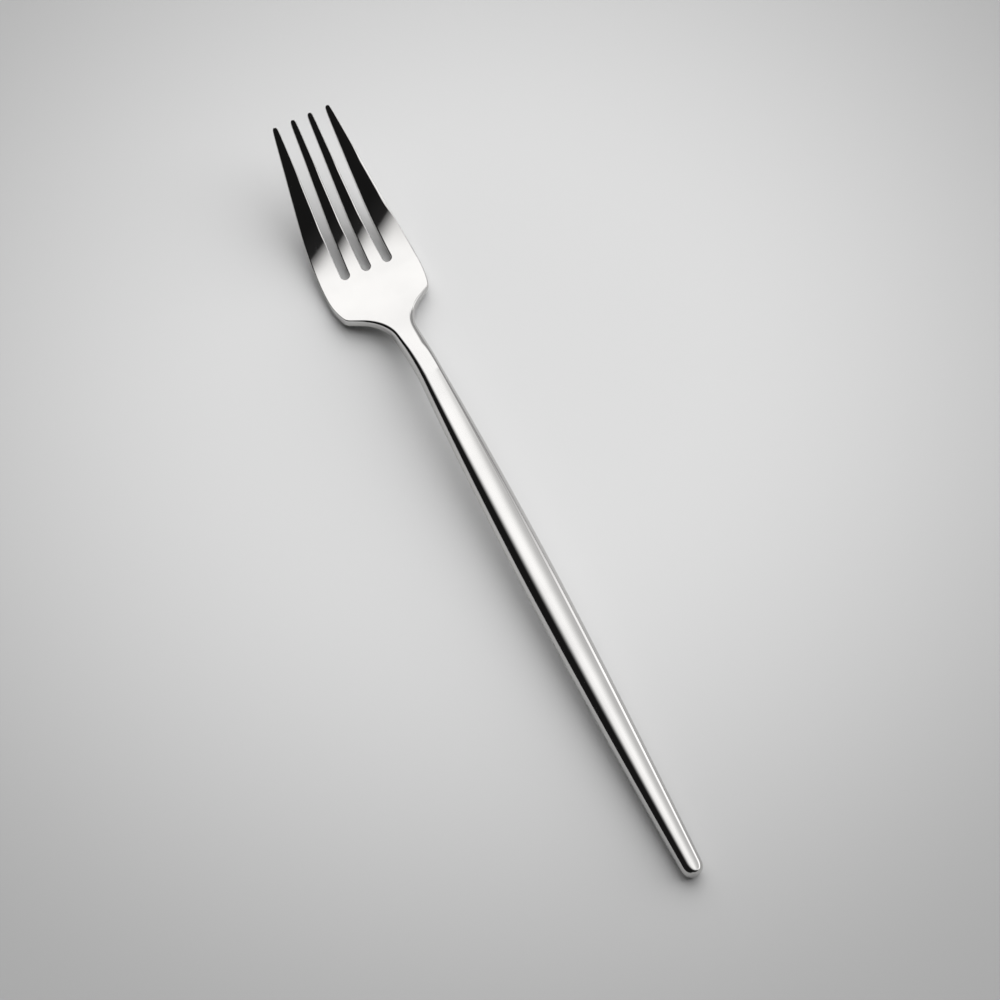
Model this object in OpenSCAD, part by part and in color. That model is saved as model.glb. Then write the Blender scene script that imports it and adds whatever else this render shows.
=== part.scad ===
// Salad fork with a hollow handle: a forged head with its tang, two pressed handle shells and a filler core.
// Stations are distances along the fork from the tine tips. The fork lies on its belly and its handle end.

/* [Overall] */
// Length from the tine tips to the handle end
overall_length = 186; // [175:0.5:200]
// Station of the joint between the neck and the handle
joint_station = 64; // [62:0.5:68]
// Angle at which the handle falls toward its end
handle_fall = 2.9; // [2.4:0.1:3.6]

/* [Head plate] */
// Width of the head where it is widest
head_width = 22.1; // [20:0.1:24]
// Station where the head is widest
widest_station = 35.3; // [34:0.1:37]
// Radius of the side edges from the tines to the widest point
side_radius = 100; // [85:1:115]
// Station of the lowest point, where the belly meets the table
belly_station = 35.2; // [34:0.1:37]
// Radius of the bend from the belly up into the tines
belly_radius = 32; // [28:0.5:36]
// Radius of the bend from the belly up into the neck
heel_radius = 14; // [10:0.5:18]
// Thickness of the plate at the belly
plate_thickness = 2.3; // [2:0.1:2.8]
// Rounding of the plate's outer edges
edge_radius = 0.3; // [0.2:0.05:0.4]

/* [Tines] */
// Width over the outer edges of the tine tips
tip_span = 13.9; // [12.5:0.1:15]
// Width of one tine at its tip
tip_width = 1.3; // [1:0.05:1.5]
// Distance between the tips of the two inner tines
tip_pitch = 4; // [3.7:0.05:4.3]
// Thickness of the tines at their tips
tip_thickness = 1.1; // [1:0.05:1.5]
// Angle of the straight part of the tines to the table
tine_angle = 33.4; // [30:0.2:36]
// Station of the round ends of the slots
slot_end = 32.1; // [30:0.1:34]
// Width of a slot at its round end
slot_width = 1.9; // [1.6:0.05:2.2]
// Distance between neighbouring slots at their round ends
slot_pitch = 5; // [4.7:0.05:5.3]

/* [Shoulders and neck] */
// Radius of the edge that leads from the widest point to the shoulder corner
lead_radius = 20; // [16:0.5:24]
// Radius of the shoulder corner
shoulder_radius = 2.5; // [1.5:0.1:3.2]
// Angle of the sloping shoulder to the fork's length
shoulder_angle = 57; // [52:1:62]
// Radius of the hollow between the shoulder and the neck
neck_fillet = 7; // [5.5:0.25:8]
// Width of the neck where it is narrowest
neck_width = 5.5; // [5:0.1:5.7]
// Radius of the arch where the neck turns down into the handle
arch_radius = 20; // [16:0.5:24]

/* [Handle] */
// Width of the handle at the joint
joint_width = 5.6; // [5.2:0.1:6]
// Thickness of the handle at the joint
joint_thickness = 5.2; // [4.8:0.1:5.6]
// How square the handle's section is at the joint, where 2 is a true ellipse
joint_squareness = 3.5; // [2.5:0.1:4.5]
// Greatest width of the handle
handle_width = 7.8; // [7:0.1:8.6]
// Greatest thickness of the handle
handle_thickness = 6; // [5.6:0.1:6.6]
// Distance from the joint to the widest point of the handle
swell_distance = 50; // [44:1:56]
// Width of the handle where its domed end starts
end_width = 4.8; // [4.4:0.1:5.4]
// Thickness of the handle where its domed end starts
end_thickness = 4.8; // [4.4:0.1:5.2]
// Length of the domed end
dome_length = 2.6; // [2:0.1:3.4]
// Wall of the handle shells
shell_wall = 0.7; // [0.5:0.05:0.8]

/* [Tang and core] */
// Length of the spigot that plugs the mouth of the handle
spigot_length = 5; // [3:0.5:8]
// Length of the tang behind the spigot
tang_length = 45; // [30:1:60]
// Width of the tang
tang_width = 2.2; // [1.8:0.1:2.4]
// Thickness of the tang
tang_thickness = 1.5; // [1.2:0.1:1.7]
// Depth of the notches in the tang's sides
notch_depth = 0.4; // [0.2:0.05:0.5]
// Length of each notch in the tang
notch_length = 4; // [2:0.5:6]
// Distance between the notches along the tang
notch_pitch = 12; // [9:0.5:14]
// Room left round the spigot, the tang and the core
fit_clearance = 0.05; // [0.03:0.01:0.1]

/* [Hidden] */

polished_steel = [0.78, 0.79, 0.8];
filler_grey = [0.55, 0.53, 0.5];

// Points on each rounded corner of a section, and steps along each stretch of the curves
corner_points = 7;
bend_steps = 6;
run_steps = 8;
tip_steps = 6;
slope_steps = 2;
slot_facets = 48;
// Share of a section's half width and half thickness that its corners take where it is oval
oval_share = 0.96;
// Squareness of a rounded edge and of the handle from its swell to its end, both nearly round
round_squareness = 2;
oval_squareness = 2.05;
// How strongly the slots bend and narrow toward their round ends
slot_ease = 1.4;
// How the handle tapers from its widest point to its end
taper_power = 1.6;
// How square the domed end is from the side, where 2 is round
dome_squareness = 9;
notch_count = 3;
// How far a cutter runs past what it cuts, and how deep the tang is rooted in the spigot
overrun = 1;

// Handle along its own straight axis, from the joint to the end of the dome
handle_length = (overall_length - joint_station) / cos(handle_fall);
dome_start = handle_length - dome_length;
taper_length = dome_start - swell_distance;

// Size of the handle at distance x behind the joint, from its sizes at the joint, the swell and the end
function swell(x, joint, widest, end) =
    x < swell_distance
        ? widest - (widest - joint) * pow(1 - x / swell_distance, 2)
        : widest - (widest - end) * pow((x - swell_distance) / taper_length, taper_power);
function handle_half_width(x) = swell(x, joint_width, handle_width, end_width) / 2;
function handle_half_thickness(x) = swell(x, joint_thickness, handle_thickness, end_thickness) / 2;
function handle_squareness(x) = swell(x, joint_squareness, oval_squareness, oval_squareness);

// Ring of the handle as distance, half width, half thickness and squareness, set in from the outer face by
// inset and drawn together over the dome by the given turn
function handle_ring(x, inset, turn) = [
    x,
    (handle_half_width(x) - inset) * cos(turn),
    (handle_half_thickness(x) - inset) * pow(1 - pow(sin(turn), dome_squareness), 1 / dome_squareness),
    handle_squareness(x)
];
handle_run_steps = 20;
dome_steps = 6;
function handle_rings(inset, start) = concat(
    [for (i = [0:handle_run_steps])
        handle_ring(start + (dome_start - start) * i / handle_run_steps, inset, 0)],
    [for (i = [1:dome_steps - 1])
        let (turn = 90 * i / dome_steps)
        handle_ring(dome_start + (dome_length - inset) * sin(turn), inset, turn)]);

// Height of the handle's axis at the joint, with the lowest ring of the handle on the table
end_height = max([for (r = handle_rings(0, 0))
    r[2] * cos(handle_fall) - (handle_length - r[0]) * sin(handle_fall)]);
joint_height = end_height + handle_length * sin(handle_fall);
belly_height = plate_thickness / 2;

// Heading of the straight line from a point to a circle of radius r that it meets tangentially
function tangent_heading(dx, dy, r) = atan2(dy, dx) + atan2(r, sqrt(dx * dx + dy * dy - r * r));

// Side view: the neck is the straight tangent between the heel bend and the arch
arch_centre = [joint_station - arch_radius * sin(handle_fall), joint_height - arch_radius * cos(handle_fall)];
neck_angle = tangent_heading(
    arch_centre[0] - belly_station,
    arch_centre[1] - belly_height - heel_radius,
    heel_radius + arch_radius);
tine_bend_station = belly_station - belly_radius * sin(tine_angle);
tine_bend_height = belly_height + belly_radius * (1 - cos(tine_angle));
heel_end_station = belly_station + heel_radius * sin(neck_angle);
heel_end_height = belly_height + heel_radius * (1 - cos(neck_angle));
arch_start_station = arch_centre[0] - arch_radius * sin(neck_angle);

// Heading of the centre line in side view at a station, rising toward the handle
function heading(s) =
    s < tine_bend_station ? -tine_angle :
    s < belly_station ? -asin((belly_station - s) / belly_radius) :
    s < heel_end_station ? asin((s - belly_station) / heel_radius) :
    s < arch_start_station ? neck_angle :
    asin((arch_centre[0] - s) / arch_radius);

// Height of the centre line at a station
function height(s) =
    s < tine_bend_station ? tine_bend_height + (tine_bend_station - s) * tan(tine_angle) :
    s < belly_station ? belly_height + belly_radius * (1 - cos(heading(s))) :
    s < heel_end_station ? belly_height + heel_radius * (1 - cos(heading(s))) :
    s < arch_start_station ? heel_end_height + (s - heel_end_station) * tan(neck_angle) :
    arch_centre[1] + arch_radius * cos(heading(s));

// Curve from value p0 to p1 that starts with slope m0 and ends with slope m1, for u from 0 to 1
function eased(u, p0, p1, m0, m1) =
    let (v = 1 - u)
    v * v * (p0 + u * (2 * p0 + m0)) + u * u * (p1 + v * (2 * p1 - m1));

// Half thickness of the head at a station, which meets the handle's at its own slope
neck_run = joint_station - belly_station;
joint_thickness_slope = (handle_thickness - joint_thickness) / swell_distance;
function half_thickness(s) =
    s < belly_station
        ? (plate_thickness - (plate_thickness - tip_thickness) * pow(1 - s / belly_station, 2)) / 2
        : eased(
            (s - belly_station) / neck_run,
            belly_height,
            joint_thickness / 2,
            0,
            joint_thickness_slope * neck_run);

// Points along a bend of radius r that turns from heading h0 to h1, after point p
function bend(p, r, h0, h1) =
    let (turn = sign(h1 - h0))
    [for (i = [1:bend_steps])
        let (h = h0 + (h1 - h0) * i / bend_steps)
        p + turn * r * [sin(h) - sin(h0), cos(h0) - cos(h)]];
// Points along a straight run from p to q, after point p
function run(p, q, steps) = [for (i = [1:steps]) p + (q - p) * i / steps];
function last(list) = list[len(list) - 1];

// How far the lead edge turns before the shoulder corner
lead_angle = 16.5;

// Plan view: half outline of the head from the tine tips to the joint, as station and half width
flare = tangent_heading(
    widest_station - tip_width / 2,
    head_width / 2 - side_radius - tip_span / 2,
    side_radius);
tip_corner = [-overrun, tip_span / 2 - (overrun + tip_width / 2) * tan(flare)];
side_start = [widest_station - side_radius * sin(flare), head_width / 2 - side_radius * (1 - cos(flare))];
tine_edge = run(tip_corner, side_start, run_steps);
side_edge = bend(side_start, side_radius, flare, 0);
lead_edge = bend(last(side_edge), lead_radius, 0, -lead_angle);
corner_edge = bend(last(lead_edge), shoulder_radius, -lead_angle, -shoulder_angle);
fillet_half_width = neck_width / 2 + neck_fillet * (1 - cos(shoulder_angle));
slope_length = (last(corner_edge)[1] - fillet_half_width) / tan(shoulder_angle);
fillet_start = [last(corner_edge)[0] + slope_length, fillet_half_width];
slope_edge = run(last(corner_edge), fillet_start, slope_steps);
fillet_edge = bend(fillet_start, neck_fillet, -shoulder_angle, 0);
neck_edge_start = last(fillet_edge);
neck_edge_length = joint_station - neck_edge_start[0];
joint_width_slope = (handle_width - joint_width) / swell_distance;
neck_edge = [for (i = [1:run_steps])
    let (u = i / run_steps)
    [
        neck_edge_start[0] + neck_edge_length * u,
        eased(u, neck_edge_start[1], joint_width / 2, 0, joint_width_slope * neck_edge_length)
    ]];
half_outline = concat(
    [tip_corner],
    tine_edge,
    side_edge,
    lead_edge,
    corner_edge,
    slope_edge,
    fillet_edge,
    neck_edge);

// How far the section has gone from a plate with rounded edges to the oval of the joint, from 0 to 1
function ovalness(s) =
    let (u = max(0, (s - fillet_start[0]) / (joint_station - fillet_start[0])))
    u * u * (3 - 2 * u);

// Points of one corner of a section with squareness n, where quarter counts from the right side over the top
function section_corner(a, b, rx, ry, n, quarter) =
    let (side = quarter == 0 || quarter == 3 ? 1 : -1, face = quarter < 2 ? 1 : -1)
    [for (i = [0:corner_points - 1])
        let (turn = 90 * (quarter + i / (corner_points - 1)))
        [side * (a - rx + rx * pow(abs(cos(turn)), 2 / n)), face * (b - ry) + ry * sin(turn)]];
function section(a, b, rx, ry, n) = [for (q = [0:3]) each section_corner(a, b, rx, ry, n, q)];
function oval(a, b, n) = section(a, b, a * oval_share, b * oval_share, n);
// Upper half of an oval, from the right seam over the top to the left seam
function half_oval(a, b, n) = concat(
    [[a, 0]],
    section_corner(a, b, a * oval_share, b * oval_share, n, 0),
    section_corner(a, b, a * oval_share, b * oval_share, n, 1),
    [[-a, 0]]);

// A section set across the centre line at point [station, height] with the given heading
function placed(shape, at, turn) =
    [for (p = shape) [at[0] - p[1] * sin(turn), p[0], at[1] + p[1] * cos(turn)]];

function head_section(s, a) =
    let (b = half_thickness(s), g = ovalness(s))
    section(
        a,
        b,
        edge_radius + (a * oval_share - edge_radius) * g,
        edge_radius + (b * oval_share - edge_radius) * g,
        round_squareness + (joint_squareness - round_squareness) * g);

joint_point = [joint_station, joint_height];
function behind_joint(x) = joint_point + x * [cos(handle_fall), -sin(handle_fall)];
spigot_section = oval(
    handle_half_width(0) - shell_wall - fit_clearance,
    handle_half_thickness(0) - shell_wall - fit_clearance,
    joint_squareness);
head_rings = concat(
    [for (p = half_outline) placed(head_section(p[0], p[1]), [p[0], height(p[0])], heading(p[0]))],
    [for (x = [0, spigot_length]) placed(spigot_section, behind_joint(x), -handle_fall)]);
core_start = spigot_length + fit_clearance;
core_rings = [for (r = handle_rings(shell_wall + fit_clearance, core_start)) [r[0], oval(r[1], r[2], r[3])]];

// Triangles between two rings of count points that start at points i and j of a list
function band(i, j, count) = [for (k = [0:count - 1])
    let (n = (k + 1) % count)
    each [[i + k, j + n, i + n], [i + k, j + k, j + n]]];

// Solid through a list of closed rings, with a flat face on its first ring and on its last
module loft(rings) {
    count = len(rings[0]);
    top = (len(rings) - 1) * count;
    polyhedron(
        points = [for (ring = rings) each ring],
        faces = concat(
            [[for (k = [0:count - 1]) k]],
            [for (i = [0:len(rings) - 2]) each band(i * count, (i + 1) * count, count)],
            [[for (k = [0:count - 1]) top + count - 1 - k]]));
}

// Places what is drawn along the handle's own axis, from the joint
module along_handle() {
    translate([joint_station, 0, joint_height])
        rotate([0, handle_fall, 0])
            children();
}

// Turns the stations into the part's frame, with the tines toward +X and the middle length at the origin
module in_frame() {
    rotate([0, 0, 180])
        translate([-overall_length / 2, 0, 0])
            children();
}

// Middles of the tine tips across the fork
outer_tip = (tip_span - tip_width) / 2;
tips = [-outer_tip, -tip_pitch / 2, tip_pitch / 2, outer_tip];

// Edge of a slot on the side toward +Y or -Y, from the tine tips to the slot's round end
slot_centre = slot_end - slot_width / 2;
function slot_edge(tip_y, tip_half, root_y, side) = [for (i = [0:run_steps])
    let (u = i / run_steps)
    [
        tip_width / 2 + (slot_centre - tip_width / 2) * u,
        tip_y + (root_y - tip_y) * pow(u, slot_ease)
            + side * (slot_width / 2 + (tip_half - slot_width / 2) * pow(1 - u, slot_ease))
    ]];
// How far the cutters run past the tips, beyond the tilted end of the plate that the tines are cut from
tip_reach = 2 * overrun;
// Quarter round of a tine tip on the side toward +Y or -Y, from the tip's point to its side
function tip_round(y, side) = [for (i = [0:tip_steps - 1])
    let (turn = 90 * i / tip_steps)
    [tip_width / 2 * (1 - cos(turn)), y + side * tip_width / 2 * sin(turn)]];
function reversed(list) = [for (i = [len(list) - 1:-1:0]) list[i]];

// Gap between two neighbouring tines, whose tips are centred at y0 and y1
module tine_gap(y0, y1, root_y) {
    tip_y = (y0 + y1) / 2;
    tip_half = (y1 - y0 - tip_width) / 2;
    polygon(concat(
        [[-tip_reach, y0]],
        tip_round(y0, 1),
        slot_edge(tip_y, tip_half, root_y, -1),
        reversed(slot_edge(tip_y, tip_half, root_y, 1)),
        reversed(tip_round(y1, -1)),
        [[-tip_reach, y1]]));
    translate([slot_centre, root_y])
        circle(d = slot_width, $fn = slot_facets);
}

// Corner outside an outer tine's tip, on the side toward +Y or -Y
module tip_corner_cut(side) {
    tip_y = side * outer_tip;
    clear_y = side * (outer_tip + tip_width / 2 + overrun);
    polygon(concat(
        [[-tip_reach, tip_y]],
        tip_round(tip_y, side),
        [[tip_width / 2, tip_y + side * tip_width / 2], [tip_width / 2, clear_y], [-tip_reach, clear_y]]));
}

// All that is cut from the plate to leave the tines
module tine_cuts() {
    translate([0, 0, -overrun])
        linear_extrude(height(-overrun) + tip_thickness + overrun) {
            for (i = [0:len(tips) - 2])
                tine_gap(tips[i], tips[i + 1], (i - (len(tips) - 2) / 2) * slot_pitch);
            for (side = [-1, 1])
                tip_corner_cut(side);
        }
}

// Flat tang with notches in both sides, grown all round by room
module tang(room) {
    difference() {
        translate([spigot_length - overrun, -tang_width / 2 - room, -tang_thickness / 2 - room])
            cube([tang_length + overrun + room, tang_width + 2 * room, tang_thickness + 2 * room]);
        for (i = [1:notch_count], side = [-1, 1])
            translate([
                spigot_length + i * notch_pitch - notch_length / 2 + room,
                side * (tang_width / 2 + room) - notch_depth,
                -tang_thickness
            ])
                cube([notch_length - 2 * room, 2 * notch_depth, 2 * tang_thickness]);
    }
}

// Pressed half of the handle above the seam, open at its mouth
module half_shell() {
    outer = handle_rings(0, 0);
    inner = handle_rings(shell_wall, 0);
    count = len(half_oval(1, 1, round_squareness));
    rows = len(outer);
    skin = rows * count;
    outer_pole = 2 * skin;
    inner_pole = outer_pole + 1;
    first = (rows - 1) * count;
    edge = count - 1;
    polyhedron(
        points = concat(
            [for (r = outer) each [for (p = half_oval(r[1], r[2], r[3])) [r[0], p[0], p[1]]]],
            [for (r = inner) each [for (p = half_oval(r[1], r[2], r[3])) [r[0], p[0], p[1]]]],
            [[handle_length, 0, 0], [handle_length - shell_wall, 0, 0]]),
        faces = concat(
            [for (i = [0:rows - 2], k = [0:count - 2])
                let (a = i * count + k, b = a + count)
                each [
                    [a, b + 1, a + 1], [a, b, b + 1],
                    [skin + a, skin + a + 1, skin + b + 1], [skin + a, skin + b + 1, skin + b]
                ]],
            [for (k = [0:count - 2])
                each [
                    [k, k + 1, skin + k + 1], [k, skin + k + 1, skin + k],
                    [first + k, outer_pole, first + k + 1],
                    [skin + first + k, skin + first + k + 1, inner_pole]
                ]],
            [for (i = [0:rows - 2])
                let (a = i * count, b = a + count)
                each [
                    [a, skin + a, skin + b], [a, skin + b, b],
                    [a + edge, skin + b + edge, skin + a + edge], [a + edge, b + edge, skin + b + edge]
                ]],
            [
                [first, skin + first, inner_pole], [first, inner_pole, outer_pole],
                [first + edge, inner_pole, skin + first + edge], [first + edge, outer_pole, inner_pole]
            ]));
}

// Tines, head plate, shoulders, neck, spigot and tang in one forging
module fork_head() {
    color(polished_steel)
        in_frame() {
            difference() {
                loft(head_rings);
                tine_cuts();
            }
            along_handle()
                tang(0);
        }
}

// Upper half of the hollow handle
module handle_upper_shell() {
    color(polished_steel)
        in_frame()
            along_handle()
                half_shell();
}

// Lower half of the hollow handle
module handle_lower_shell() {
    color(polished_steel)
        in_frame()
            along_handle()
                mirror([0, 0, 1])
                    half_shell();
}

// Set filler that packs the handle and grips the tang
module handle_core() {
    color(filler_grey)
        in_frame()
            along_handle()
                difference() {
                    loft([for (r = core_rings) [for (p = r[1]) [r[0], p[0], p[1]]]]);
                    tang(fit_clearance);
                }
}

fork_head();
handle_upper_shell();
handle_lower_shell();
handle_core();
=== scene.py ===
"""Looks of a slim salad fork in polished steel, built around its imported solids.

The fork lies on a pale floor on its belly and on the end of its handle, with the tines toward +X.
Stations are distances along the fork from the tine tips. Lengths are in metres and angles in radians.
"""

import logging
import math
from collections.abc import Callable
from dataclasses import dataclass, field
from enum import Enum

import bpy
import numpy as np
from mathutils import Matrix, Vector
from mathutils.geometry import delaunay_2d_cdt


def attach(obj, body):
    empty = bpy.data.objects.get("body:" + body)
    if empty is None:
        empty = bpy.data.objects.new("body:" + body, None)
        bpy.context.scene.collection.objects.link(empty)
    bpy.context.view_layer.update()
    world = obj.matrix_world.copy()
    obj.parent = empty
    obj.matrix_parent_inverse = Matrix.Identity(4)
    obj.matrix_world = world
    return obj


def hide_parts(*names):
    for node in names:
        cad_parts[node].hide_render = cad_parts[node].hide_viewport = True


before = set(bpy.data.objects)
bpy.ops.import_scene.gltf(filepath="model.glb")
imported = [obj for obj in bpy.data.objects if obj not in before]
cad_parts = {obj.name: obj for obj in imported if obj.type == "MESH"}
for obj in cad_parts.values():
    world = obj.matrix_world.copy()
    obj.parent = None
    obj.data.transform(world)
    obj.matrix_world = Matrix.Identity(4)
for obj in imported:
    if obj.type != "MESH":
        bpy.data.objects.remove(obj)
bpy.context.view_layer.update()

BODY = "root"
QUARTER = math.pi / 2
ROUND = 2.0
WELD_DIGITS = 9
FILL_INSIDE = 1
FILL_TOLERANCE = 0.000001

log = logging.getLogger("salad_fork")


class Slot(Enum):
    """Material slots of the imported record."""

    STEEL = "polished_steel"
    FILLER = "handle_filler"


class Half(Enum):
    """The two pressed halves of the handle, with the side of the seam on which each lies."""

    UPPER = 1
    LOWER = -1


def smooth(value: np.ndarray) -> np.ndarray:
    """Eases a value from 0 to 1, level at both ends."""
    share = np.clip(value, 0.0, 1.0)
    return share * share * (3.0 - 2.0 * share)


def hermite(
    share: np.ndarray, start: float, end: float, start_slope: float, end_slope: float
) -> np.ndarray:
    """Runs from one value to another with a given slope at each end.

    Args:
        share: How far along the run, from 0 to 1.
        start: Value at 0.
        end: Value at 1.
        start_slope: Slope at 0, per unit of share.
        end_slope: Slope at 1, per unit of share.

    Returns:
        The values of the cubic curve.
    """
    ease = smooth(share)
    leave = share * (1.0 - share) ** 2
    arrive = share * share * (share - 1.0)
    return start + (end - start) * ease + start_slope * leave + end_slope * arrive


def squared_cosine(turn: np.ndarray, power: float) -> np.ndarray:
    """Gives the height of a squared round at each turn, the cosine where the power is 2."""
    return (1.0 - np.sin(turn) ** power) ** (1.0 / power)


def direction(heading: float, elevation: float) -> Vector:
    """Points toward a place round the fork.

    Args:
        heading: Angle round the fork, from +X toward +Y.
        elevation: Angle above the floor.

    Returns:
        A unit vector.
    """
    level = math.cos(elevation)
    return Vector((math.cos(heading) * level, math.sin(heading) * level, math.sin(elevation)))


def linked(name: str, data: bpy.types.ID) -> bpy.types.Object:
    """Makes an object and links it to the scene.

    Args:
        name: Name of the new object.
        data: Its mesh, lamp or camera.

    Returns:
        The object.
    """
    thing = bpy.data.objects.new(name, data)
    bpy.context.scene.collection.objects.link(thing)
    return thing


class MeshDraft:
    """Points, faces and true surface normals of one piece, gathered before its mesh is made."""

    def __init__(self) -> None:
        """Starts with nothing drawn."""
        self.points: list[np.ndarray] = []
        self.normals: list[np.ndarray] = []
        self.faces: list[tuple[int, ...]] = []
        self.facings: list[np.ndarray | None] = []
        self.count = 0

    def add(self, points: np.ndarray, normals: np.ndarray | None = None) -> np.ndarray:
        """Adds points of any array shape.

        Args:
            points: Places, with the last axis holding x, y and z.
            normals: Outward normals of the smooth surface there, or nothing on flat faces.

        Returns:
            The index of each point, in the same array shape.
        """
        flat = points.reshape(-1, 3)
        self.points.append(flat)
        self.normals.append(np.zeros_like(flat) if normals is None else normals.reshape(-1, 3))
        indices = np.arange(self.count, self.count + len(flat)).reshape(points.shape[:-1])
        self.count += len(flat)
        return indices

    def face(self, corners: tuple[int, ...], facing: np.ndarray | None = None) -> None:
        """Adds one face, smooth unless the direction that it faces is given."""
        self.faces.append(corners)
        self.facings.append(facing)

    def skin(self, rows: np.ndarray) -> None:
        """Covers a grid of point indices with smooth faces."""
        for first, second in zip(rows[:-1], rows[1:]):
            self.strip(first, second)

    def strip(self, first: np.ndarray, second: np.ndarray, facing: np.ndarray | None = None) -> None:
        """Joins two rows of point indices with faces, smooth ones or flat ones that all face one way."""
        for k in range(len(first) - 1):
            self.face((first[k], first[k + 1], second[k + 1], second[k]), facing)

    def tube(self, first: np.ndarray, second: np.ndarray) -> None:
        """Joins two closed rings with flat faces that face away from the middle of both.

        Args:
            first: Point indices of one ring.
            second: Point indices of the next ring, as many.
        """
        places = np.concatenate(self.points)
        middle = places[np.concatenate([first, second])].mean(axis=0)
        for corners in zip(first, np.roll(first, -1), np.roll(second, -1), second):
            self.face(corners, places[list(corners)].mean(axis=0) - middle)

    def _welded(self) -> tuple[np.ndarray, np.ndarray, list[tuple[tuple[int, ...], np.ndarray | None]]]:
        """Joins points that lie in one place, and leaves out loose points and faces that shrink to a line.

        Returns:
            The points, their normals, and the corners and facing of each face.
        """
        used = np.unique(np.concatenate(self.faces))
        rounded = np.round(np.concatenate(self.points)[used], WELD_DIGITS) + 0.0
        points, first, joined = np.unique(rounded, axis=0, return_index=True, return_inverse=True)
        normals = np.concatenate(self.normals)[used[first]]
        number = np.zeros(self.count, dtype=int)
        number[used] = joined.reshape(-1)
        corners = [tuple(dict.fromkeys(number[list(face)].tolist())) for face in self.faces]
        return points, normals, [pair for pair in zip(corners, self.facings) if len(pair[0]) > 2]

    def piece(self, name: str) -> bpy.types.Object:
        """Makes the mesh object, with its faces outward and its normals those of the true surface.

        Args:
            name: Name of the new object.

        Returns:
            The object, linked to the scene.
        """
        points, normals, faces = self._welded()
        mesh = bpy.data.meshes.new(name)
        mesh.from_pydata(points.tolist(), [], [corners for corners, _ in faces])
        for polygon, (corners, facing) in zip(mesh.polygons, faces):
            outward = normals[list(corners)].sum(axis=0) if facing is None else facing
            if polygon.normal.dot(Vector(outward)) < 0.0:
                polygon.flip()
            polygon.use_smooth = facing is None
        mesh.update()
        shading = []
        for polygon in mesh.polygons:
            if polygon.use_smooth:
                shading.extend(normals[v] for v in polygon.vertices)
            else:
                shading.extend([np.array(polygon.normal)] * polygon.loop_total)
        mesh.normals_split_custom_set(shading)
        return linked(name, mesh)


class Signal:
    """One output socket of a node sheet, which takes part in Python arithmetic."""

    def __init__(self, sheet: "NodeSheet", socket: bpy.types.NodeSocket) -> None:
        """Wraps a socket of a sheet."""
        self.sheet = sheet
        self.socket = socket

    def _math(self, operation: str, *terms: "Term") -> "Signal":
        """Adds one Math node to the sheet."""
        return self.sheet.node("ShaderNodeMath", {"operation": operation}, dict(enumerate(terms)))

    def __add__(self, other: "Term") -> "Signal":
        """Sum."""
        return self._math("ADD", self, other)

    __radd__ = __add__

    def __sub__(self, other: "Term") -> "Signal":
        """Difference."""
        return self._math("SUBTRACT", self, other)

    def __rsub__(self, other: "Term") -> "Signal":
        """Difference, with the signal taken away."""
        return self._math("SUBTRACT", other, self)

    def __mul__(self, other: "Term") -> "Signal":
        """Product."""
        return self._math("MULTIPLY", self, other)

    __rmul__ = __mul__

    def __truediv__(self, other: "Term") -> "Signal":
        """Quotient."""
        return self._math("DIVIDE", self, other)

    def __rtruediv__(self, other: "Term") -> "Signal":
        """Quotient, with the signal below."""
        return self._math("DIVIDE", other, self)

    def angle_over(self, other: "Signal") -> "Signal":
        """Angle whose tangent is this signal over the other."""
        return self._math("ARCTAN2", self, other)

    def eased(self, low: float, high: float) -> "Signal":
        """Eases from 0 where the signal is low to 1 where it is high, in either order of the two."""
        inputs = {"Value": self, "From Min": low, "From Max": high}
        return self.sheet.node("ShaderNodeMapRange", {"interpolation_type": "SMOOTHSTEP"}, inputs)


Term = Signal | float | tuple


class NodeSheet:
    """Node tree of a material or of the world, emptied and ready to be drawn on."""

    def __init__(self, tree: bpy.types.NodeTree) -> None:
        """Takes over a node tree."""
        self.tree = tree
        tree.nodes.clear()

    def node(
        self, kind: str, settings: dict | None = None, inputs: dict | None = None, output: int | str = 0
    ) -> Signal:
        """Adds a node of any kind.

        Args:
            kind: Blender's name for the node's type.
            settings: Properties of the node, set before its sockets.
            inputs: Values or signals of its input sockets, by name or number.
            output: The output socket that is wanted, by name or number.

        Returns:
            The wanted output, or the node's first one.
        """
        made = self.tree.nodes.new(kind)
        for name, value in (settings or {}).items():
            setattr(made, name, value)
        for key, value in (inputs or {}).items():
            if isinstance(value, Signal):
                self.tree.links.new(value.socket, made.inputs[key])
            else:
                made.inputs[key].default_value = value
        return Signal(self, made.outputs[output] if len(made.outputs) else None)

    def noise(self, place: Signal, scale: float, detail: float = 2.0) -> Signal:
        """Draws noise of a given scale and detail."""
        inputs = {"Vector": place, "Scale": scale, "Detail": detail}
        return self.node("ShaderNodeTexNoise", None, inputs)

    def mixed(self, share: Term, first: Term, second: Term) -> Signal:
        """Mixes two colours."""
        inputs = {"Factor": share, 6: first, 7: second}
        return self.node("ShaderNodeMix", {"data_type": "RGBA"}, inputs, output=2)

    def surface(self, inputs: dict) -> None:
        """Ends the sheet of a material in one shader with the given inputs."""
        shader = self.node("ShaderNodeBsdfPrincipled", None, inputs)
        self.node("ShaderNodeOutputMaterial", None, {"Surface": shader})


def new_material(name: str) -> tuple[bpy.types.Material, NodeSheet]:
    """Makes an empty node material.

    Args:
        name: Name of the new material.

    Returns:
        The material and its sheet.
    """
    material = bpy.data.materials.new(name)
    material.use_nodes = True
    return material, NodeSheet(material.node_tree)


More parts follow.
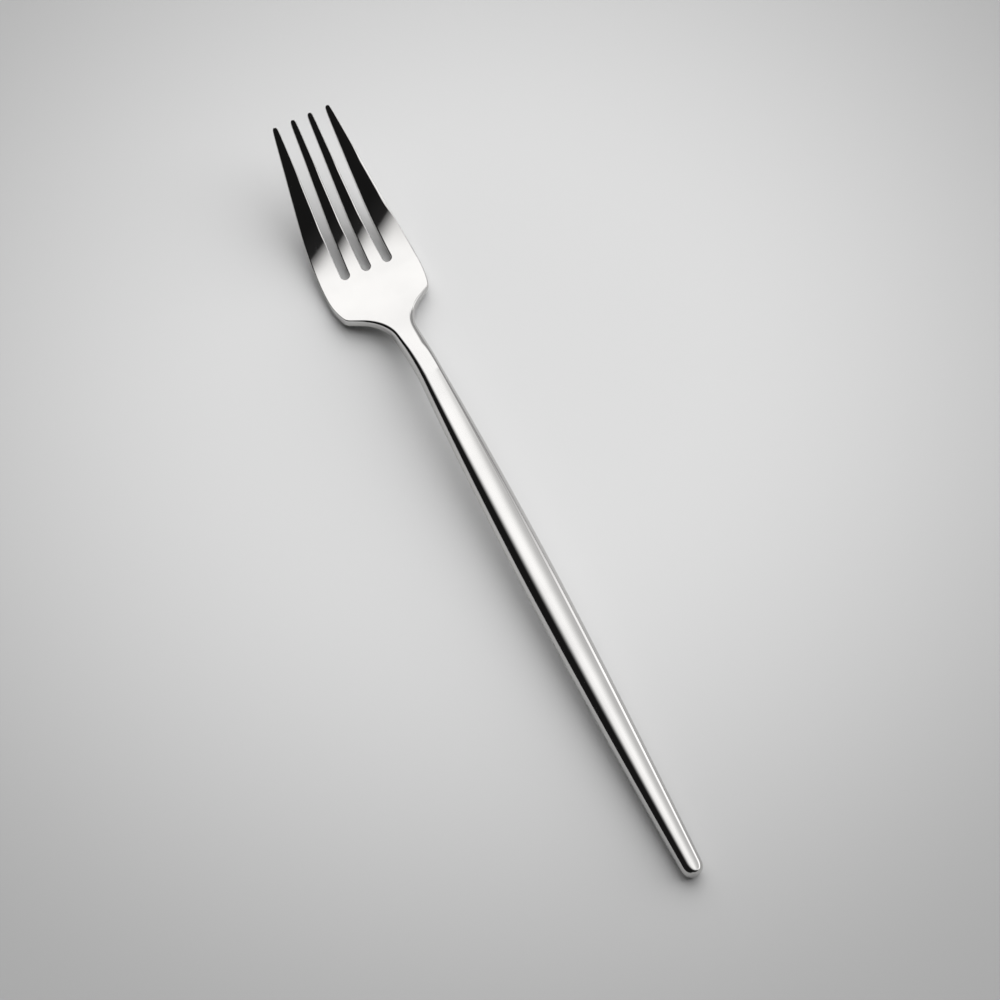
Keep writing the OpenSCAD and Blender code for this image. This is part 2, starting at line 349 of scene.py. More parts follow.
@dataclass(frozen=True)
class SteelFinish:
    """Mirror-polished stainless steel, with the hairlines that the last mop leaves along the fork."""

    bright: tuple = (0.585, 0.577, 0.567, 1.0)
    dull: tuple = (0.545, 0.538, 0.53, 1.0)
    dull_range: tuple = (0.35, 0.75)
    gloss_roughness: float = 0.05
    hairline_roughness: float = 0.03
    hairline_stretch: tuple = (60.0, 2600.0, 2600.0)
    hairline_detail: float = 3.0
    smear_roughness: float = 0.035
    smear_range: tuple = (0.45, 0.8)
    smear_scale: float = 70.0
    smear_detail: float = 4.0
    scratch_stretch: tuple = (140.0, 900.0, 900.0)
    scratch_detail: float = 6.0
    scratch_range: tuple = (0.62, 0.75)
    bump_depth: float = 0.0000004

    def material(self) -> bpy.types.Material:
        """Builds the steel.

        Returns:
            The material, for every steel piece.
        """
        material, sheet = new_material(Slot.STEEL.value)
        place = sheet.node("ShaderNodeTexCoord", output="Object")
        hairlines = self._streaks(sheet, place, self.hairline_stretch, self.hairline_detail)
        smears = sheet.noise(place, self.smear_scale, self.smear_detail)
        scratches = self._streaks(sheet, place, self.scratch_stretch, self.scratch_detail)
        worn = scratches.eased(*self.scratch_range)
        roughness = (
            self.gloss_roughness
            + self.hairline_roughness * hairlines
            + self.smear_roughness * smears.eased(*self.smear_range)
            + self.hairline_roughness * worn
        )
        colour = sheet.mixed(smears.eased(*self.dull_range), self.bright, self.dull)
        marks = {"Strength": 1.0, "Distance": self.bump_depth, "Height": hairlines + worn}
        normal = sheet.node("ShaderNodeBump", None, marks)
        sheet.surface({"Base Color": colour, "Metallic": 1.0, "Roughness": roughness, "Normal": normal})
        return material

    @staticmethod
    def _streaks(sheet: NodeSheet, place: Signal, stretch: tuple, detail: float) -> Signal:
        """Draws noise that has its own scale along each axis."""
        inputs = {0: place, 1: stretch}
        return sheet.noise(sheet.node("ShaderNodeVectorMath", {"operation": "MULTIPLY"}, inputs), 1.0, detail)


@dataclass(frozen=True)
class FillerFinish:
    """Set filler inside the handle: matte, grainy and slightly mottled."""

    pale: tuple = (0.34, 0.32, 0.29, 1.0)
    dark: tuple = (0.22, 0.205, 0.185, 1.0)
    grain_scale: float = 2200.0
    mottle_scale: float = 260.0
    base_roughness: float = 0.72
    grain_roughness: float = 0.2
    grain_depth: float = 0.00002

    def material(self) -> bpy.types.Material:
        """Builds the filler.

        Returns:
            The material of the handle core.
        """
        material, sheet = new_material(Slot.FILLER.value)
        place = sheet.node("ShaderNodeTexCoord", output="Object")
        grain = sheet.noise(place, self.grain_scale)
        mottle = sheet.noise(place, self.mottle_scale)
        colour = sheet.mixed(mottle, self.dark, self.pale)
        roughness = self.base_roughness + self.grain_roughness * grain
        normal = sheet.node("ShaderNodeBump", None, {"Distance": self.grain_depth, "Height": grain})
        sheet.surface({"Base Color": colour, "Roughness": roughness, "Normal": normal})
        return material


@dataclass(frozen=True)
class FloorFinish:
    """Plain pale floor, with painted shade that darkens it away from the fork where the studio light falls
    off.
    """

    colour: tuple = (0.7, 0.7, 0.7, 1.0)
    painted_falloff_colour: tuple = (0.38, 0.38, 0.38, 1.0)
    middle: tuple = (0.0317, -0.0162, 0.0)
    near_radius: float = 0.041
    far_radius: float = 0.183
    roughness: float = 0.9

    def material(self) -> bpy.types.Material:
        """Builds the floor.

        Returns:
            The material of the floor.
        """
        material, sheet = new_material("pale_floor")
        place = sheet.node("ShaderNodeTexCoord", output="Object")
        ends = {0: place, 1: self.middle}
        reach = sheet.node("ShaderNodeVectorMath", {"operation": "DISTANCE"}, ends, output="Value")
        # Painted shade: the floor's colour darkens from near_radius to far_radius round the fork, standing in
        # for the light falling off
        colour = sheet.mixed(reach.eased(self.near_radius, self.far_radius), self.colour, self.painted_falloff_colour)
        sheet.surface({"Base Color": colour, "Roughness": self.roughness})
        return material


@dataclass(frozen=True)
class Handle:
    """Hollow oval handle: two pressed shells on a straight axis that falls from the joint to the dome."""

    overall_length: float = 0.186
    joint_station: float = 0.064
    fall: float = math.radians(2.9)
    joint_width: float = 0.0056
    joint_thickness: float = 0.0052
    joint_squareness: float = 3.5
    widest: float = 0.0078
    thickest: float = 0.006
    swell_distance: float = 0.05
    oval_squareness: float = 2.05
    end_width: float = 0.0048
    end_thickness: float = 0.0048
    end_top_thickness: float = 0.0045
    dome_length: float = 0.0026
    dome_squareness: float = 9.0
    dome_underside: float = 4.0
    dome_plan_squareness: float = 2.6
    taper_power: float = 1.6
    shell_wall: float = 0.0007
    run_rings: int = 150
    dome_rings: int = 24
    quarter_points: int = 24
    slope_step: float = 0.0000013

    @property
    def reach(self) -> float:
        """Length of the handle along its own axis."""
        return (self.overall_length - self.joint_station) / math.cos(self.fall)

    @property
    def dome_start(self) -> float:
        """Distance from the joint to where the dome starts."""
        return self.reach - self.dome_length

    def _size(self, x: np.ndarray, joint: float, middle: float, end: float) -> np.ndarray:
        """Width or thickness along the handle.

        Args:
            x: Distances behind the joint.
            joint: Value at the joint.
            middle: Value at the swell.
            end: Value where the dome starts.

        Returns:
            The value at each distance.
        """
        rise = middle - (middle - joint) * (1.0 - x / self.swell_distance) ** 2
        beyond = np.maximum(x - self.swell_distance, 0.0) / (self.dome_start - self.swell_distance)
        return np.where(x < self.swell_distance, rise, middle - (middle - end) * beyond**self.taper_power)

    def half_width(self, x: np.ndarray) -> np.ndarray:
        """Half width at distance x behind the joint."""
        return self._size(x, self.joint_width, self.widest, self.end_width) / 2

    def half_thickness(self, x: np.ndarray, half: Half) -> np.ndarray:
        """Thickness of one half at distance x behind the joint."""
        end = self.end_top_thickness if half is Half.UPPER else self.end_thickness
        return self._size(x, self.joint_thickness, self.thickest, end) / 2

    def squareness(self, x: np.ndarray) -> np.ndarray:
        """Power that flattens the top of the oval at distance x behind the joint, 2 for a true ellipse."""
        return self._size(x, self.joint_squareness, self.oval_squareness, self.oval_squareness)

    @property
    def joint_width_slope(self) -> float:
        """How fast the half width grows at the joint."""
        return (self.widest - self.joint_width) / self.swell_distance

    @property
    def joint_thickness_slope(self) -> float:
        """How fast the half thickness grows at the joint."""
        return (self.thickest - self.joint_thickness) / self.swell_distance

    def ring_sizes(
        self, inset: float, steps: np.ndarray, half: Half
    ) -> tuple[np.ndarray, np.ndarray, np.ndarray, np.ndarray]:
        """Distance, half width, half thickness and squareness of rings.

        Args:
            inset: How far the rings lie inside the outer face.
            steps: Distance of each ring behind the joint; past the dome's start it stands for the turn.
            half: Which half of the handle.

        Returns:
            Four arrays, one value for each ring.
        """
        turn = np.clip((steps - self.dome_start) / self.dome_length, 0.0, 1.0) * QUARTER
        x = np.minimum(steps, self.dome_start) + (self.dome_length - inset) * np.sin(turn)
        width = (self.half_width(x) - inset) * squared_cosine(turn, self.dome_plan_squareness)
        power = self.dome_squareness if half is Half.UPPER else self.dome_underside
        thickness = (self.half_thickness(x, half) - inset) * squared_cosine(turn, power)
        return x, width, thickness, self.squareness(x)

    def steps(self) -> np.ndarray:
        """Places of the rings.

        Returns:
            Steps from the joint over the dome to its pole.
        """
        run = np.linspace(0.0, self.dome_start, self.run_rings + 1)
        dome = self.dome_start + np.linspace(0.0, self.dome_length, self.dome_rings + 1)[1:]
        return np.concatenate([run, dome])

    def half_ring(self, inset: float, steps: np.ndarray, half: Half) -> np.ndarray:
        """Points of half rings from one seam over the top to the other, in the handle's own axes.

        Args:
            inset: How far the rings lie inside the outer face.
            steps: Places of the rings.
            half: Which half of the handle.

        Returns:
            An array of rings, points and the three coordinates.
        """
        x, width, thickness, power = (a[:, None] for a in self.ring_sizes(inset, steps, half))
        cos, sin = self._turns()
        y = width * np.sign(cos) * np.abs(cos) ** (2.0 / power)
        return np.stack([np.broadcast_to(x, y.shape), y, thickness * sin], axis=-1)

    def _turns(self) -> tuple[np.ndarray, np.ndarray]:
        """Turns from one seam over the top to the other.

        Returns:
            Their cosines and their sines.
        """
        turn = np.linspace(0.0, math.pi, 2 * self.quarter_points + 1)[None, :]
        cos = np.cos(turn)
        cos[:, self.quarter_points] = 0.0
        return cos, np.sin(turn)

    def half_ring_normals(self, inset: float, steps: np.ndarray, half: Half) -> np.ndarray:
        """Outward normals of half rings, in the handle's own axes and above them.

        Args:
            inset: How far the rings lie inside the outer face.
            steps: Places of the rings.
            half: Which half of the handle.

        Returns:
            An array of unit vectors, one for each point of half_ring.
        """
        steps = np.minimum(steps, self.reach - 2 * self.slope_step)
        before = np.maximum(steps - self.slope_step, 0.0)
        along = self.half_ring(inset, steps + self.slope_step, half) - self.half_ring(inset, before, half)
        _, width, thickness, power = (a[:, None] for a in self.ring_sizes(inset, steps, half))
        cos, sin = self._turns()
        across = power / width * np.sign(cos) * np.abs(cos) ** (2.0 - 2.0 / power)
        up = 2.0 / thickness * sin
        lean = -(across * along[..., 1] + up * along[..., 2])
        normals = np.stack([lean, across * along[..., 0], up * along[..., 0]], axis=-1)
        return normals / np.linalg.norm(normals, axis=-1, keepdims=True)

    @property
    def joint_height(self) -> float:
        """Height of the axis at the joint, with the lowest ring of the handle on the floor."""
        x, _, thickness, _ = self.ring_sizes(0.0, self.steps(), Half.LOWER)
        end_height = np.max(thickness * math.cos(self.fall) - (self.reach - x) * math.sin(self.fall))
        return float(end_height) + self.reach * math.sin(self.fall)

    def in_frame(self, points: np.ndarray, directions: bool = False) -> np.ndarray:
        """Turns points or directions from the handle's own axes into the part's frame.

        Args:
            points: Places or directions along, across and above the handle's axis.
            directions: True to turn directions.

        Returns:
            The same in the part's frame.
        """
        along, across, above = np.moveaxis(points, -1, 0)
        station = along * math.cos(self.fall) + above * math.sin(self.fall)
        height = above * math.cos(self.fall) - along * math.sin(self.fall)
        if directions:
            return np.stack([-station, -across, height], axis=-1)
        middle = self.overall_length / 2 - self.joint_station
        return np.stack([middle - station, -across, height + self.joint_height], axis=-1)

    def shell(self, half: Half, name: str) -> bpy.types.Object:
        """Makes one pressed shell, with its outer and inner faces, its seam edges and its mouth.

        Args:
            half: Which half.
            name: Name of the new object.

        Returns:
            The shell.
        """
        side = np.array([1.0, 1.0, float(half.value)])
        draft = MeshDraft()
        steps = self.steps()
        walls = []
        for inset, outward in ((0.0, 1.0), (self.shell_wall, -1.0)):
            points = self.in_frame(self.half_ring(inset, steps, half) * side)
            normals = self.in_frame(self.half_ring_normals(inset, steps, half) * side, True)
            wall = draft.add(points, outward * normals)
            wall[-1] = wall[-1, self.quarter_points]
            draft.skin(wall)
            walls.append(wall)
        outer, inner = walls
        draft.strip(outer[0], inner[0], self.in_frame(np.array([-1.0, 0.0, 0.0]), True))
        seam_facing = self.in_frame(np.array([0.0, 0.0, -float(half.value)]), True)
        for edge in (0, -1):
            draft.strip(outer[:, edge], inner[:, edge], seam_facing)
        return draft.piece(name)


class Trace:
    """Plan curve drawn from a starting point as straight runs, round bends and eased edges."""

    def __init__(self, start: tuple[float, float], step: float) -> None:
        """Starts at a point, with the greatest distance between points."""
        self.points = [np.array(start)]
        self.step = step

    @property
    def end(self) -> np.ndarray:
        """Last point drawn."""
        return self.points[-1]

    def curve(self, place: Callable[[float], np.ndarray], length: float, least: int = 2) -> None:
        """Draws any curve.

        Args:
            place: Gives the point at each share of the curve, from 0 to 1.
            length: About how long the curve is.
            least: Fewest steps to draw it with.
        """
        count = max(least, math.ceil(length / self.step))
        self.points.extend(place(i / count) for i in range(1, count + 1))

    def run(self, end: np.ndarray) -> None:
        """Draws a straight run to a point."""
        start = self.end
        self.curve(lambda share: start + (end - start) * share, float(np.linalg.norm(end - start)))

    def bend(self, radius: float, heading: float, new_heading: float, least: int = 8) -> None:
        """Draws a round bend.

        Args:
            radius: Radius of the bend.
            heading: Heading at its start.
            new_heading: Heading at its end.
            least: Fewest steps to draw it with.
        """
        start = self.end
        turn = math.copysign(radius, new_heading - heading)

        def place(share: float) -> np.ndarray:
            """Point of the bend at a share of its turn."""
            h = heading + (new_heading - heading) * share
            return start + turn * np.array([math.sin(h) - math.sin(heading), math.cos(heading) - math.cos(h)])

        self.curve(place, abs(turn * (new_heading - heading)), least)


@dataclass(frozen=True)
class ForkHead:
    """Forged head: four tines, flat plate, sloping shoulders, rising neck, and a spigot and tang."""

    handle: Handle = field(default_factory=Handle)
    head_width: float = 0.0221
    widest_station: float = 0.0353
    side_radius: float = 0.1
    belly_station: float = 0.0352
    belly_radius: float = 0.032
    heel_radius: float = 0.014
    plate_thickness: float = 0.0023
    edge_radius: float = 0.0003
    shoulder_edge_depth: float = 0.0009
    shoulder_start: float = 0.034
    shoulder_run: float = 0.006
    bevel_width: float = 0.0004
    outer_bevel_width: float = 0.0006
    bevel_depth: float = 0.00035
    bevel_power: float = 1.3
    bevel_start: float = 0.008
    bevel_end: float = 0.0245
    bevel_fade: float = 0.004
    tip_span: float = 0.0139
    tip_width: float = 0.0014
    tip_pitch: float = 0.004
    tip_slimming: float = 0.16
    tip_taper: float = 0.0025
    tip_thickness: float = 0.0011
    tine_angle: float = math.radians(33.4)
    slot_end: float = 0.03225
    slot_width: float = 0.0018
    slot_pitch: float = 0.005
    slot_ease: float = 1.4
    lead_radius: float = 0.02
    lead_angle: float = math.radians(16.5)
    shoulder_radius: float = 0.0025
    shoulder_angle: float = math.radians(57.0)
    neck_fillet: float = 0.009
    neck_width: float = 0.0055
    neck_start: float = 0.042
    edge_growth: float = 0.011
    edge_share: float = 0.35
    crown: float = math.radians(6.0)
    crown_fade: float = 0.006
    arch_radius: float = 0.02
    spigot_length: float = 0.005
    tang_length: float = 0.045
    tang_width: float = 0.0022
    tang_thickness: float = 0.0015
    tang_squareness: float = 12.0
    notch_depth: float = 0.0004
    notch_length: float = 0.004
    notch_pitch: float = 0.012
    notch_count: int = 3
    fit_clearance: float = 0.00005
    outline_step: float = 0.0004
    slope_step: float = 0.00005
    grid_step: float = 0.0006
    tip_parts: int = 6
    slot_parts: int = 24
    placing_rounds: int = 6
    edge_points: int = 13
    level_share: float = 0.15

    @property
    def arch_centre(self) -> tuple[float, float]:
        """Station and height of the centre of the arch where the neck turns down into the handle."""
        fall = self.handle.fall
        return (
            self.handle.joint_station - self.arch_radius * math.sin(fall),
            self.handle.joint_height - self.arch_radius * math.cos(fall),
        )

    @staticmethod
    def _tangent_heading(along: float, up: float, radius: float) -> float:
        """Heading of the straight line from a point to a circle that it meets tangentially."""
        return math.atan2(up, along) + math.atan2(radius, math.sqrt(along**2 + up**2 - radius**2))

    @property
    def neck_angle(self) -> float:
        """Angle at which the straight part of the neck rises."""
        station, height = self.arch_centre
        up = height - self.plate_thickness / 2 - self.heel_radius
        return self._tangent_heading(station - self.belly_station, up, self.heel_radius + self.arch_radius)

    def heading(self, s: np.ndarray) -> np.ndarray:
        """Heading of the centre line in side view, rising toward the handle.

        Args:
            s: Stations.

        Returns:
            Angles to the floor.
        """
        past = s - self.belly_station
        steepest = math.sin(self.neck_angle)
        rise = np.arcsin(np.clip(past / self.belly_radius, -math.sin(self.tine_angle), 0.0))
        heel = np.arcsin(np.clip(past / self.heel_radius, 0.0, steepest))
        arch = np.arcsin(np.clip((self.arch_centre[0] - s) / self.arch_radius, -1.0, steepest))
        return np.where(s < self.belly_station, rise, np.minimum(heel, arch))

    def height(self, s: np.ndarray) -> np.ndarray:
        """Height of the centre line.

        Args:
            s: Stations.

        Returns:
            Heights above the floor.
        """
        h = self.heading(s)
        belly = self.plate_thickness / 2
        bend_start = self.belly_station - self.belly_radius * math.sin(self.tine_angle)
        heel_end = self.belly_station + self.heel_radius * math.sin(self.neck_angle)
        arch_start = self.arch_centre[0] - self.arch_radius * math.sin(self.neck_angle)
        tines = belly + self.belly_radius * (1.0 - np.cos(h))
        tines = tines + np.maximum(bend_start - s, 0.0) * math.tan(self.tine_angle)
        heel = belly + self.heel_radius * (1.0 - np.cos(h))
        heel = heel + np.clip(s - heel_end, 0.0, arch_start - heel_end) * math.tan(self.neck_angle)
        arch = self.arch_centre[1] + self.arch_radius * np.cos(h)
        return np.where(s < self.belly_station, tines, np.where(s < arch_start, heel, arch))

    def half_thickness(self, s: np.ndarray) -> np.ndarray:
        """Half thickness of the head.

        Args:
            s: Stations.

        Returns:
            Half thickness at each station.
        """
        plate = self.plate_thickness / 2
        thin = (self.plate_thickness - self.tip_thickness) / 2
        tines = plate - thin * np.clip(1.0 - s / self.belly_station, 0.0, None) ** 2
        run = self.handle.joint_station - self.belly_station
        share = np.clip((s - self.belly_station) / run, 0.0, 1.0)
        slope = self.handle.joint_thickness_slope * run
        neck = hermite(share, plate, self.handle.joint_thickness / 2, 0.0, slope)
        return np.where(s < self.belly_station, tines, neck)

    def half_outline(self) -> np.ndarray:
        """Plan of one side of the head.

        Returns:
            Points from the side of the outer tine's tip to the joint, each as station and half width.
        """
        tip = np.array([self.tip_width / 2, self.tip_span / 2])
        rise = self.head_width / 2 - self.side_radius - self.tip_span / 2
        flare = self._tangent_heading(self.widest_station - tip[0], rise, self.side_radius)
        widest = np.array([self.widest_station, self.head_width / 2])
        side_start = widest - self.side_radius * np.array([math.sin(flare), 1.0 - math.cos(flare)])
        trace = Trace(tip, self.outline_step)
        trace.run(side_start)
        trace.bend(self.side_radius, flare, 0.0)
        trace.bend(self.lead_radius, 0.0, -self.lead_angle)
        trace.bend(self.shoulder_radius, -self.lead_angle, -self.shoulder_angle)
        fillet_half_width = self.neck_width / 2 + self.neck_fillet * (1.0 - math.cos(self.shoulder_angle))
        slope_length = (trace.end[1] - fillet_half_width) / math.tan(self.shoulder_angle)
        trace.run(np.array([trace.end[0] + slope_length, fillet_half_width]))
        trace.bend(self.neck_fillet, -self.shoulder_angle, 0.0)
        self._draw_neck(trace)
        return np.array(trace.points)

    def _draw_neck(self, trace: Trace) -> None:
        """Draws the edge of the neck, which leaves the fillet level and meets the handle at its own slope.

        Args:
            trace: Plan of one side of the head up to the end of the fillet.
        """
        start = trace.end
        length = self.handle.joint_station - start[0]
        slope = self.handle.joint_width_slope * length

        def place(share: float) -> np.ndarray:
            """Point of the neck's edge at a share of its length."""
            width = hermite(share, start[1], self.handle.joint_width / 2, 0.0, slope)
            return np.array([start[0] + length * share, width])

        trace.curve(place, length)

    def tips(self) -> list[float]:
        """Middles of the tine tips across the fork."""
        outer = (self.tip_span - self.tip_width) / 2
        return [outer, self.tip_pitch / 2, -self.tip_pitch / 2, -outer]

    def _slot_edges(
        self, left: float, right: float, root: float
    ) -> tuple[list[np.ndarray], list[np.ndarray]]:
        """Edges of one slot, from the tine tips to the slot's round end.

        Args:
            left: Middle of the tine tip on the slot's left.
            right: Middle of the tine tip on its right.
            root: Middle of the slot at its round end.

        Returns:
            The points of the edge on the left and of the edge on the right.
        """
        start = self.tip_width / 2
        reach = self.slot_end - self.slot_width / 2 - start
        tip_middle = (left + right) / 2
        tip_spare = (left - right - self.tip_width - self.slot_width) / 2
        edges = []
        for side in (1.0, -1.0):

            def place(share: float) -> np.ndarray:
                """Point of the edge at a share of the slot's length."""
                middle = tip_middle + (root - tip_middle) * share**self.slot_ease
                half = self.slot_width / 2 + tip_spare * (1.0 - share) ** self.slot_ease
                return np.array([start + reach * share, middle + side * half])

            trace = Trace(tuple(place(0.0)), self.outline_step)
            trace.curve(place, reach)
            edges.append(trace.points)
        return edges[0], edges[1]

    def outline(self) -> np.ndarray:
        """Plan of the whole head, from the joint round all four tines and back to the joint.

        Returns:
            Points in order, each as station and distance to the side.
        """
        side = self.half_outline()
        radius = self.tip_width / 2
        tips = self.tips()
        points = list(side[::-1])
        for i, tip_y in enumerate(tips):
            trace = Trace((radius, tip_y + radius), radius / self.tip_parts)
            trace.bend(radius, math.pi, 2 * math.pi)
            points.extend(trace.points if i else trace.points[1:])
            if i + 1 < len(tips):
                root = (len(tips) / 2 - 1 - i) * self.slot_pitch
                near, far = self._slot_edges(tip_y, tips[i + 1], root)
                into = math.atan2(*(near[-1] - near[-2])[::-1])
                out = math.atan2(*(far[-1] - far[-2])[::-1])
                arc = Trace(tuple(near[-1]), self.slot_width / self.slot_parts)
                arc.bend(self.slot_width / (math.cos(into) + math.cos(out)), into, out - math.pi)
                points.extend(near[1:] + arc.points[1:] + far[::-1][1:-1])
        points.extend(side[1:] * np.array([1.0, -1.0]))
        return self._slimmed_tips(np.array(points))

    def _slimmed_tips(self, outline: np.ndarray) -> np.ndarray:
        """Draws the last stretch of every tine in toward its middle.

        Args:
            outline: Plan of the head with tines of full width.

        Returns:
            The plan with slimmer tips.
        """
        tips = np.array(self.tips())
        middle = tips[np.argmin(np.abs(outline[:, 1:] - tips), axis=1)]
        near = np.clip(1.0 - outline[:, 0] / self.tip_taper, 0.0, 1.0)
        side = middle + (outline[:, 1] - middle) * (1.0 - self.tip_slimming * near**2)
        return np.stack([outline[:, 0], side], axis=-1)

    def placed(self, station: np.ndarray, side: np.ndarray, above: np.ndarray) -> np.ndarray:
        """Turns places on the head into the part's frame.

        Args:
            station: Stations in plan, which along the neck go over to stations on the centre line.
            side: Distances to the side.
            above: Distances above the centre line, square to it.

        Returns:
            Points in the part's frame.
        """
        upright = 1.0 - smooth(self._neck_share(station))
        centre = station
        for _ in range(self.placing_rounds):
            centre = station + upright * above * np.sin(self.heading(centre))
        h = self.heading(centre)
        x = self.handle.overall_length / 2 - centre + above * np.sin(h)
        return np.stack([x, -side, self.height(centre) + above * np.cos(h)], axis=-1)

    def _neck_share(self, station: np.ndarray) -> np.ndarray:
        """How far along the neck a station lies, from 0 to 1."""
        run = self.handle.joint_station - self.neck_start
        return np.clip((station - self.neck_start) / run, 0.0, 1.0)

    def _crown_lean(self, station: np.ndarray, side: np.ndarray) -> np.ndarray:
        """Sideways lean of the surface, from the slight crown that polishing leaves on every tine.

        Args:
            station: Stations of the points.
            side: Distances to the side.

        Returns:
            Angles, away from the middle of the tine.
        """
        share = np.clip(station / self.slot_end, 0.0, 1.0) ** self.slot_ease
        tip_middle = sum(self.tips()[:2]) / 2
        slot = tip_middle + (self.slot_pitch - tip_middle) * share
        plan = self.half_outline()
        edge = np.interp(station, *plan[: np.argmax(plan[:, 1]) + 1].T)
        off = np.abs(side)
        lane = np.where(off > slot, (off - slot) / (edge - slot), off / slot) * 2.0 - 1.0
        fade = smooth((self.slot_end - station) / self.crown_fade)
        return self.crown * fade * np.sign(side) * lane

    def face_normals(self, station: np.ndarray, side: np.ndarray, face: float) -> np.ndarray:
        """Outward normals of the upper or lower face of the plate.

        Args:
            station: Stations of the points.
            side: Distances to the side.
            face: 1 for the upper face and -1 for the lower.

        Returns:
            Unit vectors in the part's frame.
        """
        zero = np.zeros_like(station)
        ends = (station + self.slope_step, station - self.slope_step)
        ahead, behind = (self.placed(s, zero, face * self.half_thickness(s)) for s in ends)
        along = ahead - behind
        normals = np.stack([-along[..., 2], zero, along[..., 0]], axis=-1)
        normals *= np.where(normals[..., 2:] * face < 0.0, -1.0, 1.0)
        normals /= np.linalg.norm(normals, axis=-1, keepdims=True)
        normals[..., 1] = -np.sin(self._crown_lean(station, side))
        return normals / np.linalg.norm(normals, axis=-1, keepdims=True)

    def _edge_sizes(self, outline: np.ndarray) -> tuple[np.ndarray, np.ndarray, np.ndarray, np.ndarray]:
        """Rounded edge all along the outline: small on the plate, eased on the tines, an oval at the joint.

        Args:
            outline: Plan of the head.

        Returns:
            The edge's width, depth and squareness, and the share of its width that is left level at the top.
        """
        station, side = outline[:, 0], np.abs(outline[:, 1])
        first = smooth((station - self.neck_start) / self.edge_growth)
        grown = self.edge_share * first + (1.0 - self.edge_share) * self._neck_share(station) ** 2
        bevel = smooth((station - self.bevel_start) / self.bevel_fade)
        bevel = bevel * smooth((self.bevel_end - station) / self.bevel_fade)
        width = self.edge_radius + (side - self.edge_radius) * grown
        bevel_width = np.where(side > self.tip_span / 2, self.outer_bevel_width, self.bevel_width)
        width = width + (bevel_width - self.edge_radius) * bevel
        deepened = smooth((station - self.shoulder_start) / self.shoulder_run)
        depth = self.edge_radius + (self.shoulder_edge_depth - self.edge_radius) * deepened
        depth = depth + (self.half_thickness(station) - depth) * grown
        depth = depth + (self.bevel_depth - self.edge_radius) * bevel
        power = ROUND + (self.handle.joint_squareness - ROUND) * grown + (self.bevel_power - ROUND) * bevel
        return width, depth, power, self.level_share * grown

    def _inward(self, outline: np.ndarray) -> np.ndarray:
        """Directions from the outline into the plate, measured in the plate's own bent surface.

        Args:
            outline: Plan of the head.

        Returns:
            Steps in plan that are one unit long in the surface.
        """
        lean = np.cos(self.heading(outline[:, 0]))
        length = np.concatenate([[0.0], np.cumsum(np.linalg.norm(np.diff(outline, axis=0), axis=1))])
        along = np.gradient(outline, length, axis=0)
        along[[0, -1], 0] = np.sign(along[[0, -1], 0])
        along[[0, -1], 1] = 0.0
        inward = np.stack([-along[:, 1], along[:, 0] / lean], axis=-1)
        inward /= np.linalg.norm(inward, axis=1, keepdims=True)
        return inward * np.stack([lean, np.ones_like(lean)], axis=-1)

    def _rounded_edge(self, outline: np.ndarray, face: float) -> tuple[np.ndarray, np.ndarray, np.ndarray]:
        """Rounded edge between the side wall and one face.

        Args:
            outline: Plan of the head.
            face: 1 for the upper edge and -1 for the lower.

        Returns:
            Points and normals as grids along the outline and over the edge, and the plan of the inner rim.
        """
        width, depth, power, level = (a[:, None] for a in self._edge_sizes(outline))
        inward = self._inward(outline)
        turn = np.linspace(0.0, 1.0, self.edge_points) * np.arccos(level ** (power / 2.0))
        cos, sin = np.cos(turn), np.sin(turn)
        plan = outline[:, None, :] + (width * (1.0 - cos ** (2.0 / power)))[..., None] * inward[:, None, :]
        drop = depth * (1.0 - sin)
        drop[:, -1] = 0.0
        station, side = plan[..., 0], plan[..., 1]
        above = face * (self.half_thickness(station) - drop)
        points = self.placed(station, side, above)
        along = np.gradient(points, axis=0)
        up = self.face_normals(station, side, face)
        beyond = plan - inward[:, None, :] * self.edge_radius
        out = self.placed(beyond[..., 0], beyond[..., 1], above) - points
        out /= np.linalg.norm(out, axis=-1, keepdims=True)
        normals = out * (power / width * cos ** (2.0 - 2.0 / power))[..., None]
        normals = normals + up * (2.0 / depth * sin)[..., None]
        along /= np.linalg.norm(along, axis=-1, keepdims=True)
        normals -= along * np.sum(normals * along, axis=-1, keepdims=True)
        normals[:, -1] = up[:, -1]
        normals /= np.linalg.norm(normals, axis=-1, keepdims=True)
        return points, normals, plan[:, -1]

    def _filled(self, rim: np.ndarray) -> tuple[np.ndarray, list[tuple[int, ...]]]:
        """Fills the plan inside a rim with triangles on a regular grid.

        Args:
            rim: Closed plan of the rim.

        Returns:
            The grid points that were added, and triangles whose numbers count the rim's points first.
        """
        low, high = rim.min(axis=0), rim.max(axis=0)
        stations = np.arange(low[0], high[0], self.grid_step)
        sides = np.linspace(low[1], high[1], math.ceil((high[1] - low[1]) / self.grid_step))
        grid = np.stack(np.meshgrid(stations, sides, indexing="ij"), axis=-1).reshape(-1, 2)
        nearest = np.array([np.min(np.linalg.norm(rim - p, axis=1)) for p in grid])
        grid = grid[(nearest > self.grid_step / 2) & self._inside(rim, grid)]
        places = [Vector(p / self.outline_step) for p in np.concatenate([rim, grid])]
        edges = [(i, (i + 1) % len(rim)) for i in range(len(rim))]
        filled = delaunay_2d_cdt(places, edges, [], FILL_INSIDE, FILL_TOLERANCE)
        verts, _, faces, origins, _, _ = filled
        if len(verts) != len(places):
            log.warning("filling the plate changed its points: %d for %d", len(verts), len(places))
        number = [source[0] for source in origins]
        return grid, [tuple(number[v] for v in face) for face in faces]

